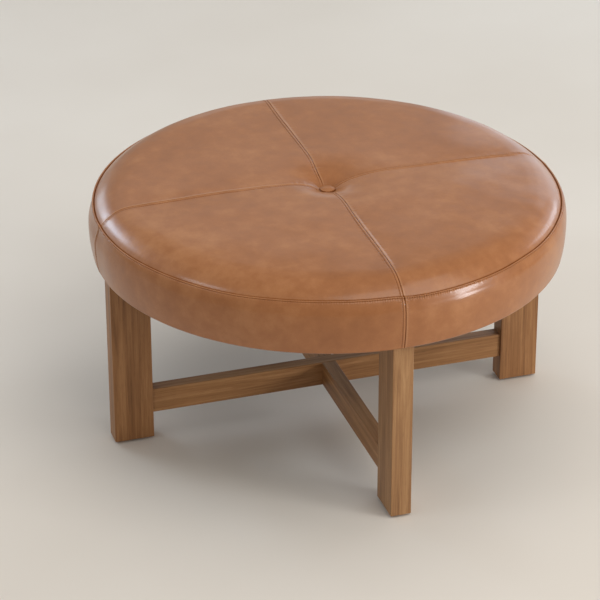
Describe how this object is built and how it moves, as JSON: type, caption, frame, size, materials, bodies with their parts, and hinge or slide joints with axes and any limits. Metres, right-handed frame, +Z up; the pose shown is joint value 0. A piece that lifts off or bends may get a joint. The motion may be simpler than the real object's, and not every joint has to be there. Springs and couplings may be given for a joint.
{
  "type": "tufted ottoman",
  "caption": "Round leather-covered ottoman with a domed seat sewn from quarters, a centre button, straight wooden legs and a crossed stretcher.",
  "frame": {"origin": "on the floor under the middle of the seat", "axes": "+Z up along the seat's axis; -Y towards the front leg, +X towards the right leg"},
  "size_m": [0.81, 0.81, 0.4411],
  "materials": {
    "cover_leather": "satin",
    "base_wood": "satin",
    "dowel_wood": "matte",
    "board_plywood": "matte",
    "foam": "matte",
    "wadding": "matte",
    "dust_cover": "matte",
    "twine": "matte",
    "glide_plastic": "satin",
    "anchor_plastic": "matte",
    "bracket_steel": "satin",
    "fastener_steel": "satin"
  },
  "bodies": {
    "root": {"band_panel_back_left": "cover_leather", "band_panel_back_right": "cover_leather", "band_panel_front_left": "cover_leather", "band_panel_front_right": "cover_leather", "bolt_washers": "fastener_steel", "bracket_back": "bracket_steel", "bracket_front": "bracket_steel", "bracket_left": "bracket_steel", "bracket_right": "bracket_steel", "bracket_screws": "fastener_steel", "button_back": "fastener_steel", "button_cover": "cover_leather", "button_shell": "fastener_steel", "cover_staples": "fastener_steel", "dust_cover": "dust_cover", "foam_core": "foam", "foam_crown": "foam", "glide_back": "glide_plastic", "glide_front": "glide_plastic", "glide_left": "glide_plastic", "glide_nails": "fastener_steel", "glide_right": "glide_plastic", "hem_staples": "fastener_steel", "lap_screw": "fastener_steel", "leg_back": "base_wood", "leg_front": "base_wood", "leg_left": "base_wood", "leg_right": "base_wood", "rail_dowels": "dowel_wood", "rail_front_back": "base_wood", "rail_left_right": "base_wood", "seat_board": "board_plywood", "seat_bolts": "fastener_steel", "threaded_inserts": "fastener_steel", "top_panel_back_left": "cover_leather", "top_panel_back_right": "cover_leather", "top_panel_front_left": "cover_leather", "top_panel_front_right": "cover_leather", "tufting_twine": "twine", "twine_anchor": "anchor_plastic", "wadding_wrap": "wadding"}
  },
  "joints": []
}
